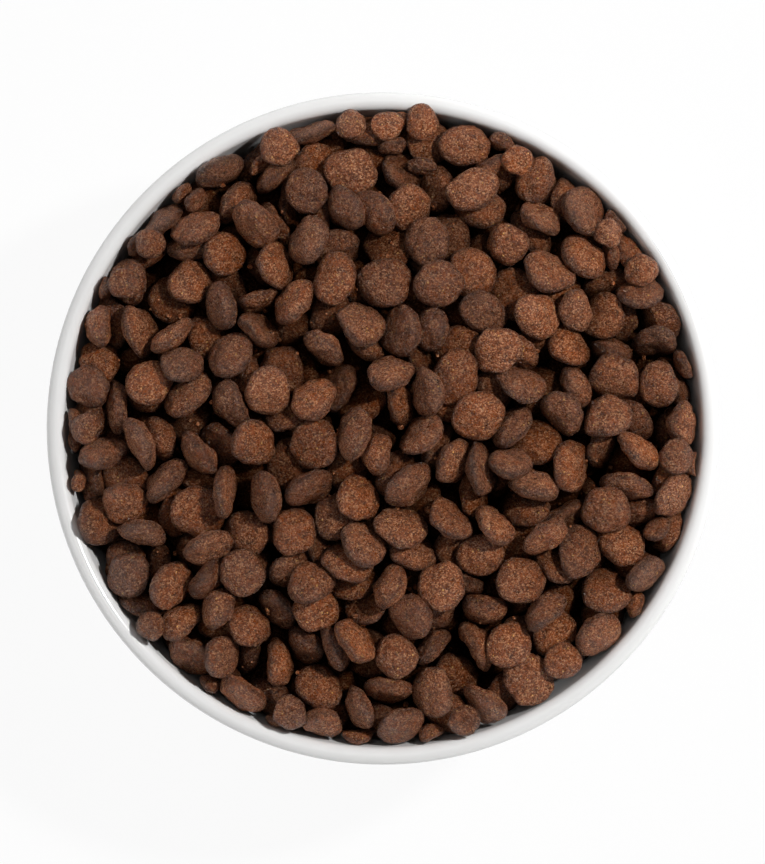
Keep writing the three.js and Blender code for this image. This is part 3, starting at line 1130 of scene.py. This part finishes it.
# %% Make the bowl
BOWL_SIDES = 192
BOWL_ARC_STEP = math.radians(9)
LONGEST_RUN = 3
foot_outer = FOOT_DIAMETER / 2
foot_inner = foot_outer - FOOT_WIDTH
bowl_corners = [
    (0, FOOT_HEIGHT),
    (foot_inner, FOOT_HEIGHT, FOOT_EDGE),
    (foot_inner, 0, FOOT_EDGE),
    (foot_outer, 0, FOOT_EDGE),
    (foot_outer, FOOT_HEIGHT, FOOT_EDGE),
    (wall_radius(rim_outer, FOOT_HEIGHT), FOOT_HEIGHT, INNER_CORNER + WALL),
    (rim_outer, BOWL_HEIGHT, rim_round),
    (rim_inner, BOWL_HEIGHT, rim_round),
    (wall_radius(rim_inner, floor_level), floor_level, INNER_CORNER),
    (0, floor_level),
]
bowl_section = divided(rounded_profile(bowl_corners, BOWL_ARC_STEP), LONGEST_RUN)
bowl = turned("glazed_bowl", bowl_section, BOWL_SIDES, glaze)
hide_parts("bowl")
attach(bowl, "root")
print("bowl:", triangles(bowl), "triangles")

# %% [markdown]
# ## The floor
# The object stands on plain white paper. A white floor that is only lit comes out grey, and more light would
# burn out the rim. So part of its white is its own: the Light Path node tells which rays come from the
# camera, a reflection or glass, and for those the floor shines by itself. The rest is lit as usual, so the
# shadow of the bowl still shows.

# %% Lay the floor
FLOOR_SIZE = 12
PAPER_WHITE = (0.9, 0.9, 0.9, 1)
FLOOR_OWN_WHITE = 0.93  # the share of the floor's white that no shadow darkens


def seen_directly(tree):
    rays = add_node(tree, "ShaderNodeLightPath").outputs
    seen = calc(tree, "MAXIMUM", rays["Is Camera Ray"], rays["Is Glossy Ray"])
    return calc(tree, "MAXIMUM", seen, rays["Is Transmission Ray"])


paper, tree, surface = new_material("paper")
surface.inputs["Base Color"].default_value = PAPER_WHITE
surface.inputs["Roughness"].default_value = 1
own_white = add_node(tree, "ShaderNodeEmission", {"Color": (1, 1, 1, 1), "Strength": 1.0})
own_share = times(tree, seen_directly(tree), FLOOR_OWN_WHITE)
mix_inputs = {0: own_share, 1: surface.outputs[0], 2: own_white.outputs[0]}
mixed = add_node(tree, "ShaderNodeMixShader", mix_inputs)
tree.links.new(mixed.outputs[0], tree.nodes["Material Output"].inputs["Surface"])
floor_mesh = bpy.data.meshes.new("floor")
edge = FLOOR_SIZE / 2
floor_corners = [(-edge, -edge, 0), (edge, -edge, 0), (edge, edge, 0), (-edge, edge, 0)]
floor_mesh.from_pydata(floor_corners, [], [(0, 1, 2, 3)])
floor_mesh.materials.append(paper)
floor = bpy.data.objects.new("floor", floor_mesh)
scene.collection.objects.link(floor)
floor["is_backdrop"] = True
print("floor:", FLOOR_SIZE, "m across")

# %% [markdown]
# ## The light
# A small, strong lamp from the upper right gives each kibble a light and a dark side and makes the gaps
# between them black. One big lamp would be softer, but it would flatten the heap. Two wide, weak lamps, from
# above and from the lower left, keep the rim white all round. All three are set so that a colour renders
# about as it is written.

# %% Hang the lamps


def add_lamp(name, azimuth, elevation, distance, size, power):
    """A round lamp that looks at the middle of the heap. Azimuth runs from +X towards +Y."""
    lamp = bpy.data.lights.new(name, "AREA")
    lamp.shape = "DISK"
    lamp.size = size
    lamp.energy = power
    turned_by, raised_by = math.radians(azimuth), math.radians(elevation)
    away = Vector((math.cos(turned_by), math.sin(turned_by), math.tan(raised_by))).normalized()
    holder = bpy.data.objects.new(name, lamp)
    holder.location = Vector((0, 0, BOWL_HEIGHT * MM)) + distance * away
    holder.rotation_euler = away.to_track_quat("Z", "Y").to_euler()
    scene.collection.objects.link(holder)
    return holder


add_lamp("key_lamp", azimuth=28, elevation=50, distance=0.8, size=0.08, power=5.2)
add_lamp("top_lamp", azimuth=120, elevation=78, distance=1.2, size=0.7, power=1.3)
add_lamp("fill_lamp", azimuth=213, elevation=45, distance=1.2, size=0.8, power=1.8)

# %% [markdown]
# The world is a white room that is bright at the horizon and dark overhead. An even white sky would be
# simpler, but it would light the gaps from above and lay a grey veil over the kibble. The camera sees pure
# white in every direction, and a reflection does so at low directions only, for the same reason.

# %% Make the room
HORIZON_LIGHT = 1.6
ZENITH_LIGHT = 0.01
ROOM_TOP = 0.5  # the sine of the angle over the horizon from which the room is dark
BACKDROP_TOP = (0.4, 0.6)  # the sines between which the white that is reflected fades
world = bpy.data.worlds.new("white_room")
scene.world = world
world.use_nodes = True
tree = world.node_tree
background = tree.nodes["Background"]
background.inputs["Color"].default_value = (1, 1, 1, 1)
direction = add_node(tree, "ShaderNodeTexCoord").outputs["Generated"]
upward = z_of(tree, direction)
room_light = span(tree, upward, 0.0, ROOM_TOP, HORIZON_LIGHT, ZENITH_LIGHT)
backdrop = span(tree, upward, *BACKDROP_TOP, 1.0, 0.0)
rays = add_node(tree, "ShaderNodeLightPath").outputs
backdrop = calc(tree, "MAXIMUM", backdrop, rays["Is Camera Ray"])
strength = calc(tree, "MAXIMUM", room_light, times(tree, backdrop, seen_directly(tree)))
tree.links.new(strength, background.inputs["Strength"])
scene.view_settings.view_transform = "Standard"
print("room:", HORIZON_LIGHT, "at the horizon and", ZENITH_LIGHT, "overhead")

# %% [markdown]
# ## The camera
# The picture is taken from straight above, from far enough away that the bowl's wall hides behind its rim.
# The scale of the picture at the rim and the height of the camera give the lens.

# %% Set up the camera
IMAGE_HEIGHT = 864  # pixels, of 765 by 864
MM_PER_PIXEL = 0.2226  # at the rim
BOWL_RIGHT, BOWL_UP = 0.25, 3.5  # pixels from the middle of the image to the bowl's axis
CAMERA_HEIGHT = 900
SENSOR = 36
camera_data = bpy.data.cameras.new("camera")
camera_data.sensor_width = SENSOR
camera_data.lens = SENSOR * (CAMERA_HEIGHT - BOWL_HEIGHT) / (IMAGE_HEIGHT * MM_PER_PIXEL)
camera = bpy.data.objects.new("camera", camera_data)
pixel = MM_PER_PIXEL * MM
camera.location = (-BOWL_RIGHT * pixel, -BOWL_UP * pixel, CAMERA_HEIGHT * MM)
scene.collection.objects.link(camera)
scene.camera = camera
print("camera: lens", round(camera_data.lens, 1), "mm, looking straight down")

# %% [markdown]
# ## The box at the end
# The looks may not change the object's size. The box of what is shown now is printed, in millimetres.

# %% Write the sizes and finish
low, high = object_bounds()
print("box:", [round(value / MM, 2) for value in (*low, *high)], "mm")
